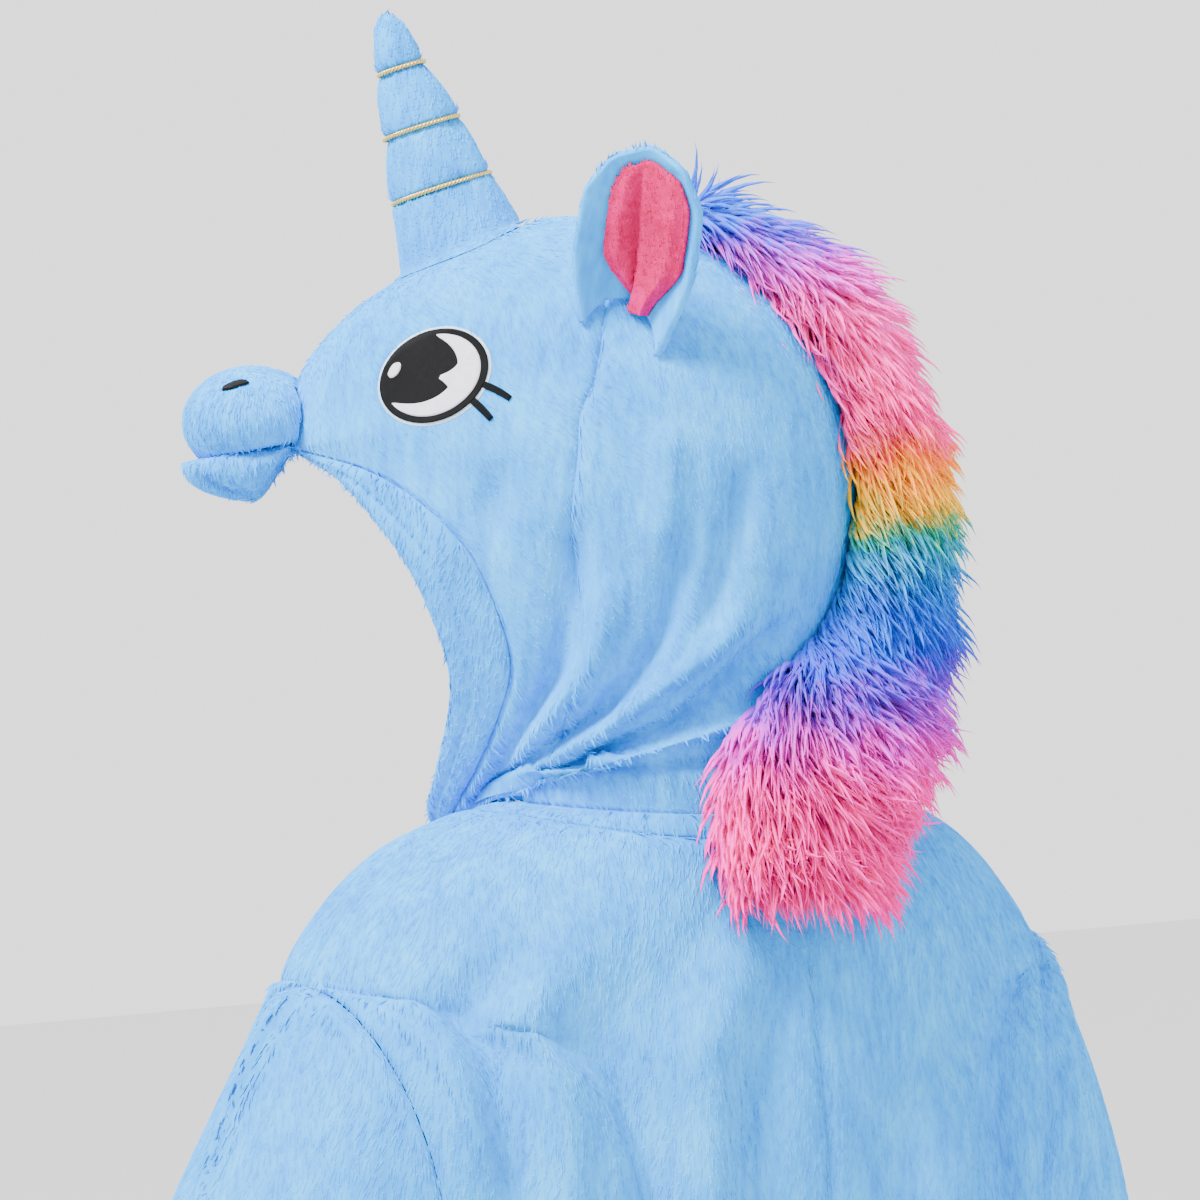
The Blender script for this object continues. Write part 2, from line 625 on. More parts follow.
def shell(name, outer, inward, thick, material, around=False, groove=0.0, rims=(1, 1, 1, 1)):
    """A closed wall. outer is in millimetres, rows by columns; groove draws its rims in, in millimetres."""
    rows, cols = outer.shape[:2]
    if groove:
        far = rim_distance(outer, (0, 0, 1, 1) if around else rims)
        drawn = groove * (1 - smooth(far / GROOVE_FADE)) ** 1.5
        outer = outer + inward * drawn[..., None]
        thick = (thick - drawn)[..., None]
    inner = outer + inward * thick
    vertices = np.concatenate([outer.reshape(-1, 3), inner.reshape(-1, 3)]) * MM
    count = rows * cols
    face = grid_faces(rows, cols, around)
    parts = [face, face[:, ::-1] + count]
    j = np.arange(cols if around else cols - 1)
    k = (j + 1) % cols
    parts.append(np.stack([j, k, k + count, j + count], -1))
    last = (rows - 1) * cols
    parts.append(np.stack([j + last, j + last + count, k + last + count, k + last], -1))
    if not around:
        i = np.arange(rows - 1) * cols
        parts.append(np.stack([i, i + count, i + cols + count, i + cols], -1))
        e = i + cols - 1
        parts.append(np.stack([e, e + cols, e + cols + count, e + count], -1))
    faces = turned_out(vertices, np.concatenate(parts))
    u, v = np.meshgrid(np.linspace(0, 1, cols), np.linspace(0, 1, rows))
    uv = np.stack([u, v], -1).reshape(-1, 2)
    return new_object(name, vertices, faces, material, np.concatenate([uv, uv]))


# %% [markdown]
# ## The pile
# Plush is cloth with a few million short fibres that stick together in small locks and lie down
# along the nap. One lock is a thin closed spike of four triangles. Geometry Nodes scatter the locks
# over the outer face, turn each to the nap, which runs down the garment, and vary their size and
# lean, then realise them into plain mesh. A slow noise swirls the nap, so that it lies in tufts.

# %% Pile tree
def socket_in(tree, name, kind, default):
    made = tree.interface.new_socket(name=name, in_out="INPUT", socket_type=kind)
    made.default_value = default
    return made.identifier


def lock_mesh():
    """One lock along +X, root at the origin, 1 long, 1 wide and 1 high, to be scaled."""
    points = [(0, -0.5, -0.15), (0, 0.5, -0.15), (0.12, 0, 0.5), (1, 0, 0.25)]
    faces = [(0, 1, 2), (0, 3, 1), (1, 3, 2), (2, 3, 0)]
    mesh = bpy.data.meshes.new("lock")
    mesh.from_pydata(points, [], faces)
    mesh.update()
    return bpy.data.objects.new("lock", mesh)


WANDER, SWIRL_SCALE, SIZES = (0.28, 0.28, 0.2), 24.0, (0.65, 1.3)


def pile_tree(name, shape, free=False):
    """Locks over a surface: the tree and its inputs' identifiers.

    Free locks follow the attribute "flow" and stand off the surface; the others lie on it along the nap.
    """
    tree = bpy.data.node_groups.new(name, "GeometryNodeTree")
    tree.interface.new_socket(name="Cloth", in_out="INPUT", socket_type="NodeSocketGeometry")
    ids = {
        "density": socket_in(tree, "Locks per square metre", "NodeSocketFloat", 90000.0),
        "length": socket_in(tree, "Length", "NodeSocketFloat", 0.0075),
        "width": socket_in(tree, "Width", "NodeSocketFloat", 0.0022),
        "height": socket_in(tree, "Height", "NodeSocketFloat", 0.0012),
        "nap": socket_in(tree, "Nap direction", "NodeSocketVector", (0, 0, -1)),
        "seed": socket_in(tree, "Seed", "NodeSocketInt", 1),
        "material": tree.interface.new_socket(
            name="Material", in_out="INPUT", socket_type="NodeSocketMaterial"
        ).identifier,
    }
    tree.interface.new_socket(name="Cloth", in_out="OUTPUT", socket_type="NodeSocketGeometry")
    nodes, links = tree.nodes, tree.links

    def add(kind, **settings):
        made = nodes.new(kind)
        for key, value in settings.items():
            setattr(made, key, value)
        return made

    given = add("NodeGroupInput")
    result = add("NodeGroupOutput")
    outer = add("GeometryNodeInputNamedAttribute", data_type="FLOAT")
    outer.inputs["Name"].default_value = "outer"
    scatter = add("GeometryNodeDistributePointsOnFaces", distribute_method="RANDOM")
    links.new(given.outputs["Cloth"], scatter.inputs["Mesh"])
    per_area = add("ShaderNodeMath", operation="MULTIPLY")
    links.new(given.outputs["Locks per square metre"], per_area.inputs[0])
    links.new(outer.outputs["Attribute"], per_area.inputs[1])
    links.new(per_area.outputs[0], scatter.inputs["Density"])
    links.new(given.outputs["Seed"], scatter.inputs["Seed"])

    wander = add("FunctionNodeRandomValue", data_type="FLOAT_VECTOR")
    wander.inputs[0].default_value = [-w for w in WANDER]
    wander.inputs[1].default_value = WANDER
    links.new(given.outputs["Seed"], wander.inputs["Seed"])
    swirl = add("ShaderNodeTexNoise")
    swirl.inputs["Scale"].default_value = SWIRL_SCALE
    centred = add("ShaderNodeVectorMath", operation="SUBTRACT")
    centred.inputs[1].default_value = (0.5, 0.5, 0.5)
    links.new(swirl.outputs["Color"], centred.inputs[0])
    swirled = add("ShaderNodeVectorMath", operation="SCALE")
    swirled.inputs["Scale"].default_value = 1.3 if free else 1.5
    links.new(centred.outputs[0], swirled.inputs[0])
    flow = add("GeometryNodeInputNamedAttribute", data_type="FLOAT_VECTOR")
    flow.inputs["Name"].default_value = "flow"
    lean = add("ShaderNodeVectorMath", operation="ADD")
    links.new(flow.outputs["Attribute"] if free else given.outputs["Nap direction"], lean.inputs[0])
    links.new(wander.outputs[0], lean.inputs[1])
    leaned = add("ShaderNodeVectorMath", operation="ADD")
    links.new(lean.outputs[0], leaned.inputs[0])
    links.new(swirled.outputs[0], leaned.inputs[1])

    axis, pivot = ("Z", "X") if free else ("X", "Z")
    first = add("FunctionNodeAlignRotationToVector", axis=pivot)
    along = add("FunctionNodeAlignRotationToVector", axis=axis, pivot_axis=pivot)
    links.new(first.outputs[0], along.inputs["Rotation"])
    links.new(scatter.outputs["Normal"], (along if free else first).inputs["Vector"])
    links.new(leaned.outputs[0], (first if free else along).inputs["Vector"])
    lock = add("GeometryNodeObjectInfo")
    lock.inputs["Object"].default_value = shape
    size = add("ShaderNodeCombineXYZ")
    for k, name in enumerate(("Length", "Width", "Height")):
        links.new(given.outputs[name], size.inputs[k])
    vary = add("FunctionNodeRandomValue", data_type="FLOAT")
    vary.inputs[2].default_value, vary.inputs[3].default_value = SIZES
    scaled = add("ShaderNodeVectorMath", operation="SCALE")
    links.new(size.outputs[0], scaled.inputs[0])
    links.new(vary.outputs[1], scaled.inputs["Scale"])
    place = add("GeometryNodeInstanceOnPoints")
    links.new(scatter.outputs["Points"], place.inputs["Points"])
    links.new(lock.outputs["Geometry"], place.inputs["Instance"])
    links.new(along.outputs[0], place.inputs["Rotation"])
    links.new(scaled.outputs[0], place.inputs["Scale"])
    real = add("GeometryNodeRealizeInstances")
    links.new(place.outputs[0], real.inputs[0])
    dressed = add("GeometryNodeSetMaterial")
    links.new(real.outputs[0], dressed.inputs["Geometry"])
    links.new(given.outputs["Material"], dressed.inputs["Material"])
    links.new(dressed.outputs[0], result.inputs[0])
    return tree, ids


PILE = pile_tree("pile", lock_mesh())
print("pile tree has", len(PILE[0].nodes), "nodes")


THIN = 1.0


def pile_on(cloth, material, nap=(0, 0, -1), density=145000, length=4.8, width=1.5, height=0.75, seed=1,
            kind=PILE, all_over=False):
    """A new piece: the locks of the pile that stands on a shell's outer face, or all over a closed pad.

    density is in locks per square metre, and the locks' length, width and height are in millimetres.
    """
    mesh, (tree, ids) = cloth.data, kind
    count = len(mesh.vertices)
    if "outer" not in mesh.attributes:
        mark = mesh.attributes.new("outer", "FLOAT", "POINT")
        half = count if all_over else count // 2
        mark.data.foreach_set("value", np.repeat([1.0, 0.0], [half, count - half]).astype(np.float32))
    carrier = bpy.data.objects.new(cloth.name + "_pile", mesh)
    bpy.context.scene.collection.objects.link(carrier)
    modifier = carrier.modifiers.new("pile", "NODES")
    modifier.node_group = tree
    for key, value in {
        "density": density * THIN,
        "length": length * MM,
        "width": width * MM,
        "height": height * MM,
        "nap": nap,
        "seed": seed,
        "material": material,
    }.items():
        modifier[ids[key]] = value
    applied(carrier).data.name = carrier.name
    return carrier


def cloth_piece(thing, node, slot, pile):
    """Places and declares a piece of cloth and the pile on it, with the area of its outer face."""
    dress(thing, slot, node)
    dress(pile, slot)


# %% [markdown]
# ## Body and sleeves
# The body is four long panels, each from the neck to the ankle, joined down the centre front, the
# centre back, the sides and the inseams. The sleeves leave the armholes in the plane of the body's
# cloth and turn down the arm.

# %% Body panels
def underarm(angle):
    """0 over most of the armhole, rising to 1 at its lowest point."""
    return smooth((-np.cos(angle) - 0.35) / 0.65)[..., None]


def armhole_inward(angle):
    """The way into the cloth round the armhole, the same for the body's panels and for the sleeve."""
    at_back = (np.sin(angle) >= -1e-6)[..., None]
    row = mixed(ARMHOLE_TOP, ARMHOLE_BOTTOM, np.arccos(np.clip(np.cos(angle), -1, 1)) / np.pi)
    edge = np.ones_like(row)
    n = np.where(at_back, -body_normal(edge, row, 1), -body_normal(edge, row, -1))
    return unit(mixed(n, np.array([-0.4, 0, 0.92]), underarm(angle)))


def body_panel(name, side, way):
    upper = np.linspace(NECK_BAND_ROW + 0.02, ARMHOLE_BOTTOM, 84)
    rows = np.concatenate([upper, np.linspace(ARMHOLE_BOTTOM, LAST_ROW, 92)[1:]])
    u, row = np.meshgrid(np.linspace(0, 1, 46), rows)
    points = body_outer(u, row, side, way)
    inward = -body_normal(u, row, way)
    at_hole = (rows >= ARMHOLE_TOP) & (rows <= ARMHOLE_BOTTOM)
    inward[at_hole, -1] = armhole_inward(way * armhole_angle(rows[at_hole]))
    return shell(name, mirror(points, side), mirror(inward, side), PLUSH, BLUE, groove=SEAM_GROOVE)


for side, word in SIDES:
    for way, part in ((1, "back"), (-1, "front")):
        panel = body_panel(f"plush_{part}_{word}", side, way)
        pile = pile_on(panel, BLUE, nap=(0, 0, -1.2), seed=3 + side + 5 * way)
        cloth_piece(panel, f"{part}_{word}", "plush_blue", pile)

# %% Sleeves
# Five rings down each arm: their middles and their half widths outwards and front to back, in millimetres, and how
# far each leans and swings from level, in degrees.
SLEEVES = {
    1: {"x": [214, 226, 238, 246, 250], "y": [-2, -8, -20, -38, -50], "z": [-231, -300, -364, -422, -456],
        "out": [61, 49, 45, 45, 38], "deep": [73, 64, 57, 50, 40], "lean": [52, 24, 13, 9, 8],
        "swing": [2, 6, 12, 18, 18]},
    -1: {"x": [212, 222, 232, 238, 240], "y": [-8, -26, -54, -84, -102], "z": [-231, -298, -358, -408, -438],
         "out": [61, 48, 45, 44, 38], "deep": [73, 63, 56, 49, 40], "lean": [52, 24, 13, 9, 8],
         "swing": [6, 16, 24, 30, 30]},
}
# Wrinkles of a sleeve: the ring and the angle of their middle, their reach along and round the arm, their height.
SLEEVE_FOLDS = [
    (1.3, 200, 0.35, 60, -6), (1.9, 170, 0.3, 70, 5), (2.5, 190, 0.28, 80, -5), (3.1, 150, 0.3, 70, 4),
    (3.7, 200, 0.28, 90, -4), (4.3, 60, 0.22, 80, 3), (4.5, 230, 0.22, 80, 3), (0.7, 110, 0.3, 25, -4),
    (2.0, 20, 0.9, 22, 4), (2.2, 300, 0.9, 20, -4),
]
WRIST, SEAM_GAP = 5, 0.72


def sleeve_ring(table, i, angle):
    lean, swing = math.radians(table["lean"][i]), math.radians(table["swing"][i])
    out = np.array([math.cos(lean), 0, math.sin(lean)]) * table["out"][i]
    deep = np.array([0, math.cos(swing), -math.sin(swing)]) * table["deep"][i]
    middle = np.array([table[k][i] for k in "xyz"])
    return middle + np.cos(angle)[..., None] * out + np.sin(angle)[..., None] * deep


def sleeve_start(table, angle):
    """The way the sleeve leaves the armhole: down the arm, but in the plane of the body's cloth."""
    lean, swing = math.radians(table["lean"][0]), math.radians(table["swing"][0])
    down = unit(np.array([math.sin(lean), -math.sin(swing), -1]))
    n = armhole_inward(angle)
    along = unit(down - n * (n @ down)[..., None])
    return unit(mixed(along, np.array([0.66, 0, -0.75]), underarm(angle)))


def sleeve_point(table, ring, angle):
    """Ring 0 is the armhole, ring 5 the wrist."""
    rings = [armhole(angle)] + [sleeve_ring(table, i, angle) for i in range(WRIST)]
    i = min(WRIST - 1, int(ring))
    t = ring - i
    step = rings[i + 1] - rings[i]
    if i == 0:
        out = sleeve_start(table, angle) * np.linalg.norm(step, axis=-1, keepdims=True)
    else:
        out = (rings[i + 1] - rings[i - 1]) / 2
    arrive = step if i == WRIST - 1 else (rings[i + 2] - rings[i]) / 2
    return hermite(t, rings[i], out, rings[i + 1], arrive)


def sleeve(name, side):
    table = SLEEVES[side]
    angle = np.linspace(0, 2 * np.pi, 96, endpoint=False)
    rings = np.concatenate([np.linspace(0, 1, 20), np.linspace(1, WRIST, 84)[1:]])
    outer, inward = [], []
    for ring in rings:
        p = sleeve_point(table, ring, angle)
        if ring == 0:
            p = p + sleeve_start(table, angle) * SEAM_GAP
            n = armhole_inward(angle)
        else:
            around = sleeve_point(table, ring, angle + 0.02) - sleeve_point(table, ring, angle - 0.02)
            r0 = min(ring, WRIST - 0.02)
            n = unit(np.cross(around, sleeve_point(table, r0 + 0.02, angle) - sleeve_point(table, r0, angle)))
        height = np.zeros_like(angle)
        for at, degrees, reach, wide, high in SLEEVE_FOLDS:
            turn = (np.degrees(angle) - degrees + 180) % 360 - 180
            height += high * np.exp(-(((ring - at) / reach) ** 2) - (turn / wide) ** 2)
        height *= smooth(ring / 0.5) * smooth((WRIST - ring) / 0.4)
        outer.append(p - n * height[:, None])
        inward.append(n)
    outer, inward = mirror(np.array(outer), side), mirror(np.array(inward), side)
    return shell(name, outer, inward, PLUSH, BLUE, around=True, groove=SEAM_GROOVE)


for side, word in SIDES:
    arm = sleeve(f"plush_sleeve_{word}", side)
    pile = pile_on(arm, BLUE, nap=(0, 0, -1.2), seed=21 + side)
    cloth_piece(arm, f"sleeve_{word}", "plush_blue", pile)

# %% [markdown]
# ## Cuffs, neck band, placket and buttons
# A cuff is a short doubled band, sewn to the end of the sleeve or leg and a little narrower, so the
# cloth above bulges over it. The neck band is a plain strip in the neck seam, and the placket is a
# strip of the same plush with the nap pressed flat under the buttons. Only the buttons are hard, so
# they are turned solids with real holes.

# %% Cuffs
CUFF_LENGTH, CUFF_THICK, BAND_GROOVE, GATHERS = 42, 3.5, 1.2, 7


def band(name, loop, inward, along, drawn):
    """A cuff from a loop, in millimetres: drawn in at its start, bulging half way and gathered all round."""
    share = np.linspace(0, 1, 16)[:, None, None]
    gathers = np.sin(np.linspace(0, 2 * GATHERS * np.pi, len(loop)))[:, None]
    bulge = 1.2 * np.sin(np.pi * share) + 0.5 * np.sin(np.pi * share) * gathers
    outer = loop + along * (0.3 + share * CUFF_LENGTH) + inward * (drawn * smooth(2.5 * share) - bulge)
    inward = np.broadcast_to(inward, outer.shape)
    return shell(name, outer, inward, CUFF_THICK, BLUE, around=True, groove=BAND_GROOVE)


def to_middle(loop, along):
    away = loop.mean(0) - loop
    return unit(away - (away @ along)[:, None] * along)


for side, word in SIDES:
    table = SLEEVES[side]
    lean, swing = math.radians(table["lean"][-1]), math.radians(table["swing"][-1])
    wrist_down = unit(np.array([side * math.sin(lean), -math.sin(swing), -math.cos(swing) * math.cos(lean)]))
    wrist = mirror(sleeve_point(table, WRIST, np.linspace(0, 2 * np.pi, 72, endpoint=False)), side)
    cuff = band(f"plush_cuff_{word}", wrist, to_middle(wrist, wrist_down), wrist_down, 3)
    cloth_piece(cuff, f"cuff_{word}", "plush_blue", pile_on(cuff, BLUE, length=5, seed=31 + side))
    u = np.linspace(0, 1, 36, endpoint=False)
    ankle = mirror(np.concatenate([body_arc(u, LAST_ROW, 1), body_arc(1 - u, LAST_ROW, -1)]), side)
    foot_down = np.array([0.0, 0.0, -1.0])
    hem = band(f"plush_ankle_{word}", ankle, to_middle(ankle, foot_down), foot_down, 4)
    cloth_piece(hem, f"ankle_cuff_{word}", "plush_blue", pile_on(hem, BLUE, length=5, seed=35 + side))

# %% Neck band and placket
def neck_band():
    u = np.linspace(0.003, 1, 34)
    rows = np.linspace(0, NECK_BAND_ROW, 9)
    outer, inward = [], []
    for row in rows:
        front, back_half = body_arc(u, row, -1), body_arc(u[-2::-1], row, 1)
        n_front, n_back = body_normal(u, row, -1), body_normal(u[-2::-1], row, 1)
        half, n_half = np.concatenate([front, back_half]), np.concatenate([n_front, n_back])
        outer.append(np.concatenate([half, mirror(half, -1)[-2::-1]]))
        inward.append(-np.concatenate([n_half, mirror(n_half, -1)[-2::-1]]))
    outer, inward = np.array(outer), np.array(inward)
    return shell("plush_neck_band", outer, inward, PLUSH, BLUE, groove=BAND_GROOVE, rims=(1, 1, 0, 1))


PLACKET_ROWS, PLACKET_HALF, STITCHES_AT, ARC_OVER_CHORD = (0.5, 13), 15, 11.5, 1.15


def placket():
    """The strip down the centre front, with a row of stitches pressed in along each side."""
    across = np.linspace(-PLACKET_HALF, PLACKET_HALF, 13)
    outer, inward = [], []
    for row in np.linspace(*PLACKET_ROWS, 120):
        wide = np.linalg.norm(body_arc(0, row, -1) - body_arc(1, row, -1)) * ARC_OVER_CHORD
        u = np.minimum(1, abs(across) / wide)
        side = np.sign(across) + (across == 0)
        n = body_normal(np.maximum(u, 0.001), row, -1)
        lift = 3 - 0.7 * np.exp(-(((abs(across) - STITCHES_AT) / 1.1) ** 2))
        outer.append((body_arc(u, row, -1) + n * lift[:, None]) * stacked(side, 1, 1))
        inward.append(np.broadcast_to(-body_normal(0, row, -1), n.shape))
    return shell("plush_placket", np.array(outer), np.array(inward), 2.2, BLUE, groove=0.8)


collar = neck_band()
cloth_piece(collar, "neck_band", "plush_blue", pile_on(collar, BLUE, length=5, seed=41))
strip = placket()
cloth_piece(strip, "placket", "plush_blue", pile_on(strip, BLUE, length=4.5, height=0.9, seed=42))

# %% Buttons
def lathe(profile, sides=40):
    """A closed turned solid about +Z from radius and height pairs, first and last on the axis."""
    a = np.linspace(0, 2 * np.pi, sides, endpoint=False)
    ring = np.array(profile[1:-1])
    points = stacked(ring[:, :1] * np.cos(a), ring[:, :1] * np.sin(a), ring[:, 1:] + 0 * a).reshape(-1, 3)
    points = np.concatenate([points, [(0, 0, profile[0][1]), (0, 0, profile[-1][1])]])
    return points, capped_faces(len(ring), sides)


def glossy_button():
    material, shader, place = new_material("button_plastic", 0.3)
    shader.inputs["Specular IOR Level"].default_value = 0.5
    shader.inputs["Coat Weight"].default_value = 0.3
    cloud = place.noise(180.0, 3.0)
    cloud.between(0.35, 0.7).mix(rgb("4f9bd2"), rgb("74bbe8")).into(shader, "Base Color")
    (place.noise(2600.0, 2.0) * 0.16 + 0.2).into(shader, "Roughness")
    return material


BUTTON_PLASTIC = glossy_button()
# Radius and height pairs in millimetres, from the middle of the back round the rim to the middle of the face.
BUTTON_PROFILE = [(0, 0), (6.6, 0), (7.6, 0.5), (8, 1.4), (7.9, 2.6), (7.4, 3.5), (6.7, 3.95), (5.9, 3.8),
                  (5.3, 3.2), (4.4, 2.95), (0, 2.9)]
HOLE_AT, HOLE_RADIUS, BUTTON_LIFT = 1.6, 0.8, 3.6
BUTTONS, TOP_BUTTON_ROW, LOW_BUTTON_ROW = 5, 1.1, 12.3


def button(number, row):
    """A button with four drilled holes, and the matrix that sets it on the placket."""
    made = plain_object(f"button_turned_{number}", *lathe(BUTTON_PROFILE), BUTTON_PLASTIC)
    for x, y in ((1, 1), (-1, 1), (-1, -1), (1, -1)):
        at = (x * HOLE_AT * MM, y * HOLE_AT * MM, 0)
        bpy.ops.mesh.primitive_cylinder_add(vertices=14, radius=HOLE_RADIUS * MM, depth=12 * MM, location=at)
        drill = bpy.context.object
        cut = made.modifiers.new("hole", "BOOLEAN")
        cut.operation, cut.object, cut.solver = "DIFFERENCE", drill, "EXACT"
        applied(made)
        bpy.data.objects.remove(drill)
    n = body_normal(0, row, -1)
    foot = (body_arc(0, row, -1) + n * BUTTON_LIFT) * MM
    turn = Vector((0, 0, 1)).rotation_difference(Vector(n)).to_matrix().to_4x4()
    place = Matrix.Translation(Vector(foot)) @ turn
    made.data.transform(place)
    dress(made, "button_blue", f"button_{number}")
    return place


def thread():
    material, shader, place = new_material("thread", 0.7, 0.2)
    place.noise(2500.0, 2.0).between(0.3, 0.7).mix(rgb("3f86bd"), rgb("8cc8ee")).into(shader, "Base Color")
    return material


THREAD = thread()


def tube(path, radius, sides=8):
    """A closed tube through points, in millimetres."""
    path = np.asarray(path, float)
    along = unit(np.gradient(path, axis=0))
    up = unit(np.cross(along, np.array([0.31, 0.52, 0.8])))
    over = np.cross(along, up)
    a = np.linspace(0, 2 * np.pi, sides, endpoint=False)[:, None]
    rings = [p + radius * (np.cos(a) * x + np.sin(a) * y) for p, x, y in zip(path, up, over)]
    return np.concatenate(rings + [path[:1], path[-1:]]), capped_faces(len(path), sides)


# A thread comes up through one hole, crosses the face and goes down through the next.
CROSSING = [(-HOLE_AT, 1.6), (-HOLE_AT, 2.9), (-1.1, 3.35), (0, 3.5), (1.1, 3.35), (HOLE_AT, 2.9),
            (HOLE_AT, 1.6)]
for i in range(BUTTONS):
    place = button(i + 1, TOP_BUTTON_ROW + (LOW_BUTTON_ROW - TOP_BUTTON_ROW) * i / (BUTTONS - 1))
    bridges = [tube([(x, y, z) for x, z in CROSSING], 0.5) for y in (HOLE_AT, -HOLE_AT)]
    threads = joined(f"button_thread_{i + 1}", bridges, THREAD)
    threads.data.transform(place)
    dress(threads, "button_blue")

# %% [markdown]
# ## The hood
# Four panels and a band. The seam from the ear down to the neck parts front from back, and the two
# halves meet along the mane's line and over the brow. The band round the face is a separate doubled
# strip, stitched down on its inner edge, so it stands a little proud and has a groove along its
# second row of stitches.

# %% Hood panels
HOOD_GRID_ROWS, HOOD_GROOVE = 150, 1.7
OUTSIDE = []  # the outer faces of the four panels and the face band, as grids in millimetres


def hood_panel(name, side, start, stop, cols):
    rows = np.linspace(0, HOOD_LAST, HOOD_GRID_ROWS)
    angle = mixed(start(rows)[:, None], stop(rows)[:, None], np.linspace(0, 1, cols)[None])
    row = np.broadcast_to(rows[:, None], angle.shape)
    outer, n = hood_outer(angle, row, side), hood_normal(angle, row, side)
    OUTSIDE.append(outer)
    return shell(name, outer, -n, PLUSH, BLUE, groove=HOOD_GROOVE, rims=(1, 1, 0, 1))


def seam_angle(row):
    return np.radians(column(HOOD["seam"], row))


for side, word in SIDES:
    nape = hood_panel(f"plush_hood_back_{word}", side, lambda r: 0 * r, seam_angle, 80)
    pile = pile_on(nape, BLUE, nap=(-0.3, 0.5, -1), seed=51 + side)
    cloth_piece(nape, f"hood_back_{word}", "plush_blue", pile)
    cheek = hood_panel(f"plush_hood_front_{word}", side, seam_angle, band_start, 64)
    pile = pile_on(cheek, BLUE, nap=(-0.4, 0.6, -1), seed=55 + side)
    cloth_piece(cheek, f"hood_front_{word}", "plush_blue", pile)

# %% Face band
BAND_THICK, SECOND_STITCHES = 4.5, 0.6


def face_band():
    """The doubled strip round the face, up one side and down the other, with a second row of stitches."""
    half = np.linspace(0, BAND_TOP, 90)
    stations = [(r, 1) for r in half] + [(r, -1) for r in half[-2::-1]]
    outer, inward = [], []
    for inner_row, side in stations:
        row = inner_row - (BAND_TOP - BROW_ROW) * smooth((inner_row - 7) / (BAND_TOP - 7))
        edge, sewn = hood_turn(row), band_start(inner_row)
        width = np.linalg.norm(hood_plain(edge, row, side) - hood_plain(sewn, inner_row, side))
        share = np.linspace(0, 1, 13)
        off_seam = mixed(0.05 / max(width, 6), 1, share)
        angle, r = mixed(sewn, edge, off_seam), mixed(inner_row, row, off_seam)
        n = hood_normal(angle, r, side)
        if row >= BROW_ROW - 0.01:
            middle = from_hood(np.array([0.0, 1.0, 0.0]))
            n = unit(n - (n @ middle)[:, None] * middle)
        stitched = np.exp(-(((share * width - SECOND_STITCHES * width) / 1.6) ** 2))
        outer.append(hood_plain(angle, r, side) + n * (1.5 - 1.0 * stitched)[:, None])
        inward.append(-n)
    outer = np.array(outer)
    OUTSIDE.append(outer)
    return shell("plush_face_band", outer, np.array(inward), BAND_THICK, BLUE, groove=1.3)


edging = face_band()
pile = pile_on(edging, BLUE, nap=(0.2, -0.3, -1), length=4.6, seed=61)
cloth_piece(edging, "face_band", "plush_blue", pile)

# %% [markdown]
# ## Sewn on to the hood
# The horn, the ears and the muzzle are closed soft shapes whose feet lie on the hood. Each is drawn
# a little too deep, and every point that would lie under the hood's outer face is brought back to
# it, so the foot follows the hood as a sewn foot does.

# %% Keeping to the outside of the hood
def outside_tree():
    """A search tree of the hood's outer face, closed over the crown."""
    points, faces, crown = [], [], []
    for grid in OUTSIDE:
        rows, cols = grid.shape[:2]
        faces += (grid_faces(rows, cols, False) + len(points)).tolist()
        points += [Vector(p) for p in grid.reshape(-1, 3)]
        if rows == HOOD_GRID_ROWS:
            crown.append((len(points) - cols, grid[-1]))
    middle = len(points)
    points.append(Vector(np.concatenate([rim for _, rim in crown]).mean(0)))
    faces += [(start + j, start + j + 1, middle) for start, rim in crown for j in range(len(rim) - 1)]
    return BVHTree.FromPolygons(points, faces)


OUTSIDE_TREE = outside_tree()
HOOD_HEART = Vector(from_hood(np.array([25.0, 0.0, 140.0])))


def over_hood(point):
    """The nearest place on the hood's outer face, the way out there, and the point's height over it."""
    place, normal, *_ = OUTSIDE_TREE.find_nearest(Vector(point))
    if normal.dot(place - HOOD_HEART) < 0:
        normal = -normal
    return place, normal, (Vector(point) - place).dot(normal)


def kept_outside(points, clear=0.5):
    """The points, with those under the hood's outer face brought out to it."""
    kept = []
    for p in points:
        place, normal, height = over_hood(p)
        kept.append(np.array(place + normal * clear) if height < clear else np.asarray(p))
    return np.array(kept)


# %% [markdown]
# ## Horn
# A cone of the same blue plush, cut in one piece, sewn up the back and stuffed. Three gold cords
# are tied round it and draw it in, so between them the stuffing bulges, and the cloth puckers into
# each cord.

# %% Horn
# Its foot's place in the hood's frame and how far it tilts forwards; then how far up and its radius there, in
# millimetres.
HORN_F, HORN_H, HORN_TILT, HORN_TIP, HORN_SIDES = 86, 232, math.radians(18.5), 129.0, 96
HORN_TABLE = [(8, 31.5), (10, 31), (24, 28), (36, 25.5), (44, 23.4), (47, 21.2), (50, 22.6), (60, 21.2),
              (70, 18.4), (75.5, 15.8), (78.5, 17.2), (88, 15.6), (98, 12.2), (103.5, 9), (106.5, 10.2),
              (114, 9.4), (122, 6.8), (127, 3.6), (128.6, 1.4)]
CORD_RINGS = HORN_TABLE[5:14:4]
CORD_STRANDS, STRAND_RADIUS, STRAND_LAY = 3, 0.62, 5.5


def horn_point(at, r, angle):
    f = HORN_F + at * math.sin(HORN_TILT) + r * np.cos(angle) * math.cos(HORN_TILT)
    h = HORN_H + at * math.cos(HORN_TILT) - r * np.cos(angle) * math.sin(HORN_TILT)
    return from_hood(stacked(f, r * np.sin(angle), h))


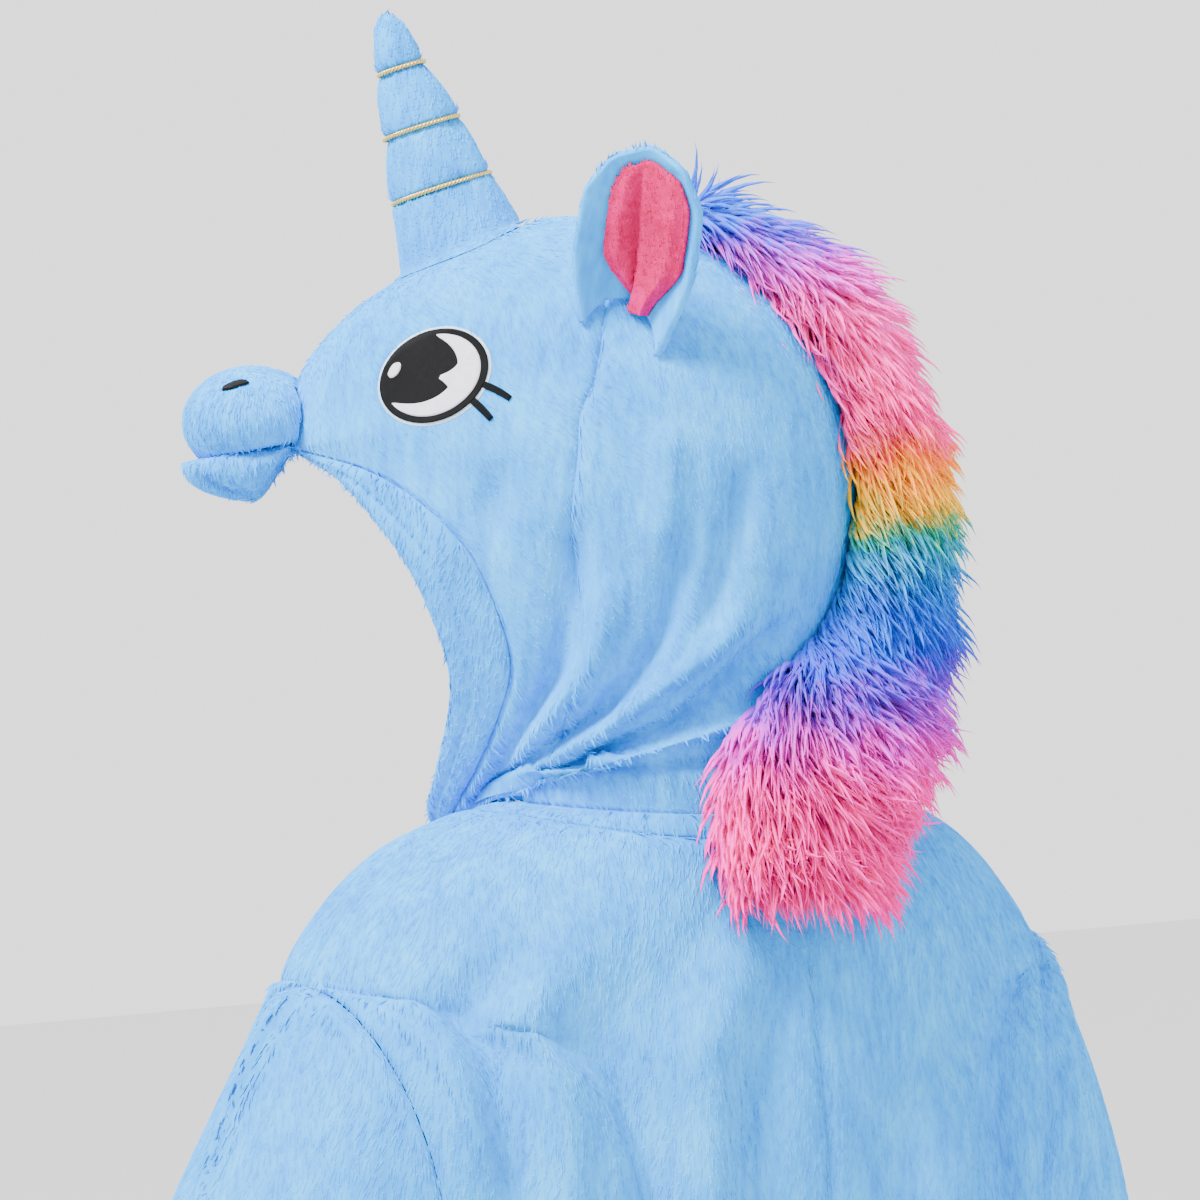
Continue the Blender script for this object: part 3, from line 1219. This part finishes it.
def horn():
    place = np.linspace(0, len(HORN_TABLE) - 1, 130)
    at = column([row[0] for row in HORN_TABLE], place)
    r = column([row[1] for row in HORN_TABLE], place)
    angle = np.linspace(0, 2 * np.pi, HORN_SIDES, endpoint=False)
    near = sum(np.exp(-(((at - cord) / 5.0) ** 2)) for cord, _ in CORD_RINGS)[:, None]
    pucker = 0.45 * np.sin(17 * angle + 0.9 * np.sin(3 * angle))[None] * near * (1 - near * 0.35)
    lumps = 0.35 * np.sin(3 * angle + at[:, None] / 7) + 0.25 * np.sin(5 * angle - at[:, None] / 9)
    seam = -0.8 * np.exp(-(((angle - np.pi) / 0.045) ** 2))[None]
    radius = r[:, None] + (pucker + lumps + seam) * smooth(r / 6)[:, None]
    points = horn_point(at[:, None], radius, angle[None])
    low = at < 40
    points[low] = kept_outside(points[low].reshape(-1, 3)).reshape(-1, len(angle), 3)
    foot, tip = kept_outside([points[0].mean(0)])[0], horn_point(np.array(HORN_TIP), 0.0, 0.0)
    vertices = np.concatenate([points.reshape(-1, 3), [foot, tip]])
    return joined("horn_stuffed", [(vertices, capped_faces(len(at), HORN_SIDES))], BLUE)


stuffed_horn = horn()
dress(stuffed_horn, "plush_blue", "horn")
nap = pile_on(stuffed_horn, BLUE, (0, 0, 1.5), density=200000, length=3.5, height=0.9, seed=65, all_over=True)
dress(nap, "plush_blue")
print("horn", [round(v, 1) for v in np.array(stuffed_horn.dimensions) / MM])

# %% Gold cords
def gold_thread():
    material, shader, place = new_material("gold_thread", 0.35)
    shader.inputs["Metallic"].default_value = 0.85
    strand = place.noise(3000.0, 2.0)
    strand.between(0.3, 0.7).mix(rgb("b98a3a"), rgb("f2d68a")).into(shader, "Base Color")
    (strand * 0.3 + 0.2).into(shader, "Roughness")
    return material


GOLD = gold_thread()
for i, (at, r) in enumerate(CORD_RINGS):
    strands = []
    t = np.linspace(0, 2 * np.pi, 220, endpoint=False)
    turns = round(2 * np.pi * (r + 1.5) / STRAND_LAY)
    for k in range(CORD_STRANDS):
        twist = turns * t + 2 * np.pi * k / CORD_STRANDS
        loop = horn_point(at + STRAND_RADIUS * np.sin(twist), r + 1.5 + STRAND_RADIUS * np.cos(twist), t)
        along = unit(np.roll(loop, -1, 0) - np.roll(loop, 1, 0))
        up = unit(loop - horn_point(np.array(float(at)), 0.0, 0.0))
        over = np.cross(along, up)
        a = np.linspace(0, 2 * np.pi, 7, endpoint=False)[None, :, None]
        points = loop[:, None] + STRAND_RADIUS * (np.cos(a) * up[:, None] + np.sin(a) * over[:, None])
        ring = grid_faces(len(loop) + 1, 7, True) % (len(loop) * 7)
        strands.append((points.reshape(-1, 3), [tuple(f) for f in ring]))
    dress(joined(f"gold_cord_{i + 1}", strands, GOLD), "gold_cord", f"horn_cord_{i + 1}")
print("gold cords", len(CORD_RINGS))

# %% [markdown]
# ## Ears
# Each ear is two leaves sewn face to face and turned: blue plush behind, pink fleece inside, cupped
# lengthwise by a fold at the foot, where the ear is caught in the hood's side seam.

# %% Short-napped fleece
def fleece(name, deep, middle, pale):
    material, shader, place = new_material(name, 0.88, 0.15, pale)
    knit, fluff = place.noise(1500.0, 3.0), place.noise(240.0, 3.0)
    tone = (knit * 0.35 + fluff * 0.35 + place.noise(30.0, 2.0) * 0.35).between(0.36, 0.72)
    tone.ramp((0.0, deep), (0.5, middle), (1.0, pale)).into(shader, "Base Color")
    (knit * 0.5 + fluff * 0.5).bump(0.5, 0.0009).into(shader, "Normal")
    return material


FLEECE = fleece("pink_fleece", rgb("a8003f"), rgb("c8005c"), rgb("e8107c"))

# %% Ears
EAR_FOOT, EAR_TO = np.array([22.0, 75.0, 197.0]), np.array([-14.0, 30.0, 94.0])
# Half the ear's width and the depth of its cup, in millimetres, at shares of the way up.
EAR_AT, EAR_HALF, EAR_CUP = [0, 0.25, 0.5, 0.75, 0.92, 1], [15, 23, 28, 27, 18, 9], [13, 15, 13, 9, 5, 3]
EAR_CLEAR, EAR_THICK, LINING_LIFT, LINING_THICK = 0.6, 3.5, 4.1, 2


def ear_point(at, across, side):
    axis = unit(EAR_TO)
    opening = np.array([0.2, 1.0, 0.0])
    opening = unit(opening - axis * (opening @ axis))
    over = np.cross(axis, opening)
    place = np.interp(at, EAR_AT, range(6))
    half, cup = column(EAR_HALF, place)[..., None], column(EAR_CUP, place)[..., None]
    at, across = at[..., None], across[..., None]
    crease = 2.2 * np.exp(-((across / 0.16) ** 2)) * (1 - smooth(at / 0.75))
    p = EAR_FOOT + axis * at * np.linalg.norm(EAR_TO) + over * half * across
    p = p - opening * (cup * (1 - across**2) + crease)
    return from_hood(p * np.array([1, side, 1]))


def ear_way(at, across, side):
    d = 0.004
    over = ear_point(at, across + d, side) - ear_point(at, across - d, side)
    up = ear_point(np.minimum(1, at + d), across, side) - ear_point(np.maximum(0, at - d), across, side)
    return unit(np.cross(over, up)) * side


def ear_start(across, side, lifts):
    """How far up the ear its foot comes out of the hood, at one place across."""
    for at in np.linspace(0.42, 0, 64):
        a, c = np.array(at), np.array(across)
        p, n = ear_point(a, c, side), ear_way(a, c, side)
        if min(over_hood(p + n * lift)[2] for lift in lifts) < EAR_CLEAR:
            return at + 0.007
    return 0.0


def ear_back(name, side):
    share = np.linspace(-1, 1, 37)
    starts = np.array([ear_start(c, side, (0, EAR_THICK)) for c in share])
    at = mixed(starts[None], 1 - 0.05 * share**2, np.linspace(0, 1, 60)[:, None])
    across = np.broadcast_to(share, at.shape)
    way = ear_way(at, across, side)
    return shell(name, ear_point(at, across, side), way, EAR_THICK, BLUE, groove=0.6)


def ear_lining(name, side):
    """The pink leaf: narrow at its foot, set towards the back of the ear, with a fold down its middle."""
    share = np.linspace(-1, 1, 49)
    foot = ear_start(0.2, side, (LINING_LIFT, LINING_LIFT + LINING_THICK))
    at = mixed(foot, 0.95 - 0.06 * share**2, np.linspace(0, 1, 70)[:, None])
    opened = smooth((at - foot + 0.03) / 0.3)
    across = mixed(mixed(0.05, -0.62, opened), mixed(0.45, 0.86, opened), (share + 1) / 2)
    way = ear_way(at, across, side)
    fold = np.exp(-(((across + 0.08 + 0.2 * (at - 0.5)) / 0.11) ** 2))
    puff = 3.4 * (1 - fold) * smooth((1 - np.abs(share)) / 0.3) * smooth((1 - at) / 0.3)
    face = ear_point(at, across, side) + way * (LINING_LIFT + LINING_THICK + puff)[..., None]
    return shell(name, face, -way, LINING_THICK, FLEECE, groove=0.6)


for side, word in SIDES:
    behind = ear_back(f"ear_blue_{word}", side)
    pile = pile_on(behind, BLUE, nap=(0, 0, 1.2), length=4.5, seed=71 + side)
    cloth_piece(behind, f"ear_outer_{word}", "plush_blue", pile)
    within = ear_lining(f"ear_pink_{word}", side)
    pile = pile_on(within, FLEECE, nap=(0, 0, 1.2), density=160000, length=3, height=0.8, seed=75 + side)
    cloth_piece(within, f"ear_inner_{word}", "plush_pink", pile)

# %% [markdown]
# ## Muzzle
# Two stuffed pads of blue plush: the upper wraps the nose, the lower is the lip, and the mouth is
# the seam between them. The nostrils are small ovals of black satin stitch.

# %% Muzzle pads
NOSE = {"f": 186, "h": 172, "long": 31, "wide": 47, "high": 25, "back": 150}
LIP = {"f": 186, "h": 152, "long": 31, "wide": 43, "high": 15, "back": 168}
MOUTH_F, MOUTH_H, MOUTH_RISE = 216, 154, 0.2
PAD_GRID, PAD_VOXEL, PAD_CLEAR = 44, 0.0013, 1.8


def ball_of_grids():
    """A unit ball as the six blown-up sides of a cube."""
    t = np.tan(np.linspace(-1, 1, PAD_GRID) * np.pi / 4)
    a, b = np.meshgrid(t, t, indexing="ij")
    points, faces = [], []
    for axis in range(3):
        for sign in (-1, 1):
            faces.append(grid_faces(PAD_GRID, PAD_GRID, False) + len(points) * PAD_GRID**2)
            points.append(unit(np.roll(np.stack([np.full_like(a, sign), a, b], -1), axis, -1)).reshape(-1, 3))
    return np.concatenate(points), np.concatenate(faces)


def pad(name, size, above):
    """A stuffed pad, cut off flat at the mouth: the nose where above is 1, the lip where it is -1."""
    ball, faces = ball_of_grids()
    f = size["f"] + size["long"] * ball[:, 0]
    s = size["wide"] * ball[:, 1]
    h = size["h"] + size["high"] * ball[:, 2]
    dimple = 1 + 0.02 * np.sin(ball[:, 1] * 5) * np.cos(ball[:, 0] * 4)
    h = size["h"] + (h - size["h"]) * dimple
    f = np.maximum(f, size["back"])
    mouth = MOUTH_H + (MOUTH_F - f) * MOUTH_RISE + above * 0.15
    if above < 0:
        h = mixed(mouth - 1, h, smooth((f - size["back"] + 4) / 22))
    h = np.maximum(h, mouth) if above > 0 else np.minimum(h, mouth)
    points = kept_outside(from_hood(stacked(f, s, h)), PAD_CLEAR)
    made = new_object(name, points * MM, turned_out(points, faces), BLUE)
    remesh = made.modifiers.new("remesh", "REMESH")
    remesh.mode, remesh.voxel_size = "VOXEL", PAD_VOXEL
    soften = made.modifiers.new("soften", "SMOOTH")
    soften.factor, soften.iterations = 0.5, 4
    mesh = applied(made).data
    mesh.polygons.foreach_set("use_smooth", [True] * len(mesh.polygons))
    dress(made, "plush_blue")
    print(name, len(mesh.polygons), "faces")
    return made


muzzle_top = pad("muzzle_nose", NOSE, 1)
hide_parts("muzzle_upper")
muzzle_low = pad("muzzle_lip", LIP, -1)
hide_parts("muzzle_lower")
for seed, part in ((81, muzzle_top), (82, muzzle_low)):
    dress(pile_on(part, BLUE, density=200000, length=4.5, height=1, seed=seed, all_over=True), "plush_blue")

# %% [markdown]
# ## Embroidered eyes and nostrils
# Satin stitch lays threads side by side across a shape until it is solid. It stands about a
# millimetre proud with rolled edges, and it shines in bands where the threads turn. The white of
# the eye and the glint are stitched over the black, and the lashes are two tapering strokes.

# %% Satin stitch
def satin(name, dark, pale, roughness, threads):
    material, shader, place = new_material(name, roughness)
    across = place.node("ShaderNodeSeparateXYZ", i0=place.node("ShaderNodeUVMap"))
    wander = place.noise(420.0, 2.0)
    row = (across * threads + wander * 1.6).math("SINE")
    (row * 0.35 + wander * 0.6).between(0.0, 0.8).mix(dark, pale).into(shader, "Base Color")
    (wander * 0.3 + (roughness - 0.12)).into(shader, "Roughness")
    row.bump(0.45, 0.0003).into(shader, "Normal")
    return material


BLACK_SATIN = satin("black_satin_stitch", rgb("010102"), rgb("0b0b0e"), 0.62, 520)
PALE_SATIN = satin("pale_satin_stitch", rgb("b9d6ea"), rgb("e6f1f8"), 0.7, 520)
WHITE_SATIN = satin("white_satin_stitch", rgb("cfc9da"), rgb("fbfaff"), 0.6, 420)


def disc(a, b):
    """A place in the unit disc for a place in the square from -1 to 1."""
    return a * np.sqrt(1 - b * b / 2), b * np.sqrt(1 - a * a / 2)


def on_hood(side):
    """Finds, by Newton's method, the hood's outer face and its normal at a place so far forward and so high."""

    def find(f, h):
        angle, row = np.full(f.shape, np.radians(110)), np.full(f.shape, 9.0)
        for _ in range(14):
            p = hood_section(angle, row)
            pa = (hood_section(angle + 0.001, row) - p) / 0.001
            pr = (hood_section(angle, row + 0.001) - p) / 0.001
            df, dh = f - p[..., 0], h - p[..., 2]
            det = pa[..., 0] * pr[..., 2] - pa[..., 2] * pr[..., 0]
            angle = angle + (df * pr[..., 2] - dh * pr[..., 0]) / det
            row = row + (dh * pa[..., 0] - df * pa[..., 2]) / det
        return hood_outer(angle, row, side), hood_normal(angle, row, side)

    return find


def on_nose(side):
    def find(f, s):
        a, b = (f - NOSE["f"]) / NOSE["long"], s / NOSE["wide"]
        c = np.sqrt(1 - a * a - b * b)
        n = unit(from_hood(stacked(a / NOSE["long"], side * b / NOSE["wide"], c / NOSE["high"])))
        return from_hood(stacked(f, side * s, NOSE["h"] + NOSE["high"] * c)), n

    return find


def stitched(name, node, slot, place, find, lift, thick, material, size=(40, 40)):
    """A satin-stitched patch, lift above the cloth. place maps a square from -1 to 1 to where find looks."""
    b, a = np.meshgrid(np.linspace(-1, 1, size[1]), np.linspace(-1, 1, size[0]))
    p, n = find(*place(a, b))
    edge = np.maximum(abs(a), abs(b))
    rolled = thick * (1 - 0.75 * smooth((edge - 0.8) / 0.2) ** 2)
    outer = p + n * (lift + rolled)[..., None]
    dress(shell(name, outer, -n, rolled[..., None], material), slot, *([node] if node else []))


# %% Nostrils
def nostril(a, b):
    x, y = disc(a, b)
    return 191 + 5.5 * x - 2 * y, 34 + 1.8 * y + 1.5 * x


for side, word in SIDES:
    names = f"nostril_stitched_{word}", f"nostril_{word}"
    stitched(*names, "eye_black", nostril, on_nose(side), 0.4, 1.0, BLACK_SATIN)

# %% Eyes
# The eye's middle in the hood's frame and its half sizes, in millimetres; the rest is in shares of those.
EYE_F, EYE_H, EYE_LONG, EYE_HIGH, EYE_TILT = 102, 193, 25, 19, math.radians(28)
EYE_RIM, PUPIL = 0.87, 0.42


def eye_place(x, y):
    along, up = EYE_LONG * x, EYE_HIGH * y
    return (
        EYE_F - along * math.cos(EYE_TILT) + up * math.sin(EYE_TILT),
        EYE_H + along * math.sin(EYE_TILT) + up * math.cos(EYE_TILT),
    )


def eye_round(radius, degrees):
    angle = np.radians(degrees)
    return eye_place(radius * np.cos(angle), radius * np.sin(angle))


def eyeball(a, b):
    return eye_place(*disc(a, b))


def halo(a, b):
    """The pale edge that shows round the black."""
    x, y = disc(a, b)
    return eye_place(1.05 * x, 1.065 * y)


def crescent(a, b):
    """The white of the eye: a crescent along its rim, with a leaf that reaches in towards the pupil."""
    degrees = mixed(-172, 64, (a + 1) / 2)
    wide = 0.03 + 0.97 * np.maximum(0, 1 - a * a) ** 0.75
    inner = mixed(EYE_RIM, PUPIL, wide)
    leaf = smooth((degrees + 72) / 12) * (1 - smooth((degrees + 34) / 34))
    inner = mixed(inner, 0.14, leaf)
    return eye_round(mixed(inner, EYE_RIM, (b + 1) / 2), degrees)


def glint(a, b):
    x, y = disc(a, b)
    along, over = 0.17 * x, 0.1 * y
    return eye_place(-0.55 + 0.75 * along - 0.65 * over, 0.52 + 0.65 * along + 0.75 * over)


LASH_WIDTH = 0.07 * 57  # degrees to each side, where the lash leaves the eye


def lash(stop, angle, bend):
    def place(a, b):
        share = (a + 1) / 2
        width = LASH_WIDTH * (1 - 0.5 * share)
        return eye_round(mixed(0.985, stop, share), angle + bend * share + width * b)

    return place


# The solid each patch replaces, its slot, its shape, its lift and thickness in millimetres, its thread, its grid.
PATCHES = [
    ("eye", "eye_black", eyeball, 0.8, 1.0, BLACK_SATIN, (46, 46)),
    ("eye_white", "eye_white", crescent, 1.6, 0.8, WHITE_SATIN, (120, 24)),
    ("eye_glint", "eye_white", glint, 1.6, 0.8, WHITE_SATIN, (40, 40)),
    ("lash_upper", "eye_black", lash(1.62, -45, -7), 0.4, 1.3, BLACK_SATIN, (40, 9)),
    ("lash_lower", "eye_black", lash(1.58, -66, -4), 0.4, 1.3, BLACK_SATIN, (40, 9)),
]
for side, word in SIDES:
    find = on_hood(side)
    stitched(f"eye_edge_{word}", None, "eye_white", halo, find, 0.1, 0.6, PALE_SATIN, (46, 46))
    for node, slot, place, lift, thick, material, size in PATCHES:
        stitched(f"{node}_stitched_{word}", f"{node}_{word}", slot, place, find, lift, thick, material, size)

# %% [markdown]
# ## Mane
# The mane is a strip of long-pile fur with a stuffed core, sewn into the hood's back seam from
# above the brow to below the neck seam. It is dyed in bands that run into one another. The fibres
# hang together in tapering locks that lift off the core, droop, and part at the bands' edges. One
# lock is a bent, closed, tapering strip.

# %% Fur material
MANE_FOOT, MANE_TOP = -0.05, 0.27


def fur():
    """Dyed in bands from the mane's foot to its top, with edges that wander from strand to strand."""
    material, shader, place = new_material("rainbow_fur", 0.6, 0.1)
    height = place.node("ShaderNodeSeparateXYZ", out=2, i0=place)
    strand, wave = place.stretched((420, 420, 70)).noise(1.0, 3.0), place.noise(60.0, 2.0)
    height = (height + (strand - 0.5) * 0.035 + (wave - 0.5) * 0.03).between(MANE_FOOT, MANE_TOP)
    bands = [(0.0, "ff10a4"), (0.2, "ff1cb4"), (0.27, "dc28d0"), (0.33, "7426d8"), (0.38, "1a4cd8"),
             (0.44, "0070dc"), (0.5, "0092cc"), (0.54, "0cae88"), (0.57, "f4c018"), (0.61, "ffae08"),
             (0.645, "ff7a38"), (0.69, "ff38a0"), (0.85, "ff44bc"), (0.91, "e040d8"), (0.95, "8040e4"),
             (0.98, "2866e2")]
    dyed = height.ramp(*[(at, rgb(code)) for at, code in bands])
    shade = strand.between(0.25, 0.75) * 0.45 + 0.9
    multiply = {"data_type": "RGBA", "blend_type": "MULTIPLY"}
    place.node("ShaderNodeMix", multiply, out=2, i0=1.0, i6=dyed, i7=shade).into(shader, "Base Color")
    strand.bump(0.5, 0.0008).into(shader, "Normal")
    return material


FUR = fur()

# %% One lock of fur
def fur_lock():
    """A lock along +X that bows up and droops at its tip, 1 long, 1 wide and 1 high."""
    stations = [(0, 0.0, 0.55), (0.2, 0.5, 1.0), (0.45, 0.7, 0.85), (0.7, 0.5, 0.5), (0.88, 0.1, 0.22)]
    points = []
    for x, z, w in stations:
        points += [(x, -0.5 * w, z - 0.2 * w), (x, 0.5 * w, z - 0.2 * w), (x, 0, z + 0.4 * w)]
    points.append((1, 0, -0.4))
    faces = [(0, 2, 1)]
    last = 3 * (len(stations) - 1)
    for i in range(0, last, 3):
        faces += [(i + j, i + (j + 1) % 3, i + 3 + (j + 1) % 3, i + 3 + j) for j in range(3)]
    faces += [(last + j, last + (j + 1) % 3, last + 3) for j in range(3)]
    mesh = bpy.data.meshes.new("fur_lock")
    mesh.from_pydata(points, [], faces)
    mesh.polygons.foreach_set("use_smooth", [True] * len(faces))
    mesh.update()
    return bpy.data.objects.new("fur_lock", mesh)


FUR_PILE = pile_tree("fur", fur_lock(), free=True)

# %% Mane
# Rows of the hood, or below 0 of the back, and the mane's half width and height there, in millimetres.
MANE_ROW = [11.6, 10.6, 9.4, 8, 6.6, 5.2, 3.8, 2.4, 1, -0.4, -1.1]
MANE_HALF = [9, 20, 26, 29, 31, 33, 35, 37, 38, 36, 24]
MANE_HIGH = [16, 33, 38, 41, 44, 48, 52, 54, 52, 42, 28]
MANE_DROOP, CORE, CORE_WIDTH, CORE_SIDES = 0.45, 0.5, 0.72, 40
# Locks per square metre, and their length, width and height in millimetres, from the longest down.
MANE_LAYERS = [(190000, 33, 1.9, 4.5), (210000, 29, 1.6, 4), (190000, 24, 1.6, 3.5)]


def mane_path(row):
    """The mane's root line and the way out from it. Rows below 0 are rows of the body's back."""
    r = np.maximum(row, 0)
    n = hood_normal(np.zeros_like(r), r, 1) + hood_normal(np.zeros_like(r), r, -1)
    level = body_normal(np.zeros_like(r), np.zeros_like(r), 1) * 2
    n = mixed(level, n, np.clip(2 * r, 0, 1)[..., None])
    low = np.maximum(-row, 0)
    on_back = (row < 0)[..., None]
    foot = np.where(on_back, body_arc(np.zeros_like(low), low, 1), hood_plain(np.zeros_like(r), r, 1))
    out = np.where(on_back, body_normal(np.zeros_like(low), low, 1), unit(n))
    return foot, out


def mane_core():
    """The stuffed core, with the attributes that say where the fur grows from it and which way."""
    place = np.linspace(0.1, 9.9, 110)
    foot, n = mane_path(column(MANE_ROW, place))
    ahead, behind = (mane_path(column(MANE_ROW, place + step))[0] for step in (0.05, -0.05))
    across = unit(np.cross(ahead - behind, n))
    angle = np.linspace(0, 2 * np.pi, CORE_SIDES, endpoint=False)
    half = column(MANE_HALF, place) * CORE_WIDTH
    high = column(MANE_HIGH, place) * CORE * (1 + 0.06 * np.sin(place * 5.3) + 0.05 * np.sin(place * 9.1))
    rise = np.sin(angle)[None]
    out = np.where(rise > 0, high[:, None] * np.abs(rise) ** 0.8, 0)
    sideways = across[:, None] * (half[:, None] * np.cos(angle))[..., None]
    points = foot[:, None] + sideways + n[:, None] * out[..., None]
    points[..., 2] -= MANE_DROOP * out
    flow = n[:, None] * (0.35 + 0.65 * rise[..., None])
    flow = flow + across[:, None] * (0.75 * np.cos(angle))[None, :, None]
    flow = flow + np.array([0, 0, -0.85])
    vertices = np.concatenate([points.reshape(-1, 3), [foot[0], foot[-1]]])
    over_neck = vertices[:, 2] > 20
    vertices[over_neck] = kept_outside(vertices[over_neck], 1.0)
    core = joined("mane_core", [(vertices, capped_faces(len(place), CORE_SIDES))], FUR)
    grows = np.concatenate([np.broadcast_to(rise > -0.2, out.shape).ravel(), [True, True]]).astype(np.float32)
    core.data.attributes.new("outer", "FLOAT", "POINT").data.foreach_set("value", grows)
    ways = np.concatenate([unit(flow).reshape(-1, 3), [n[0], n[-1]]]).astype(np.float32)
    core.data.attributes.new("flow", "FLOAT_VECTOR", "POINT").data.foreach_set("vector", ways.ravel())
    return core


core = mane_core()
dress(core, "rainbow_fur", "mane")
for layer, (density, length, width, height) in enumerate(MANE_LAYERS):
    locks = pile_on(core, FUR, (0, 0, -1), density, length, width, height, seed=91 + layer, kind=FUR_PILE)
    locks.name = f"mane_fur_{layer + 1}"
    dress(locks, "rainbow_fur")
    print(locks.name, len(locks.data.polygons), "faces")
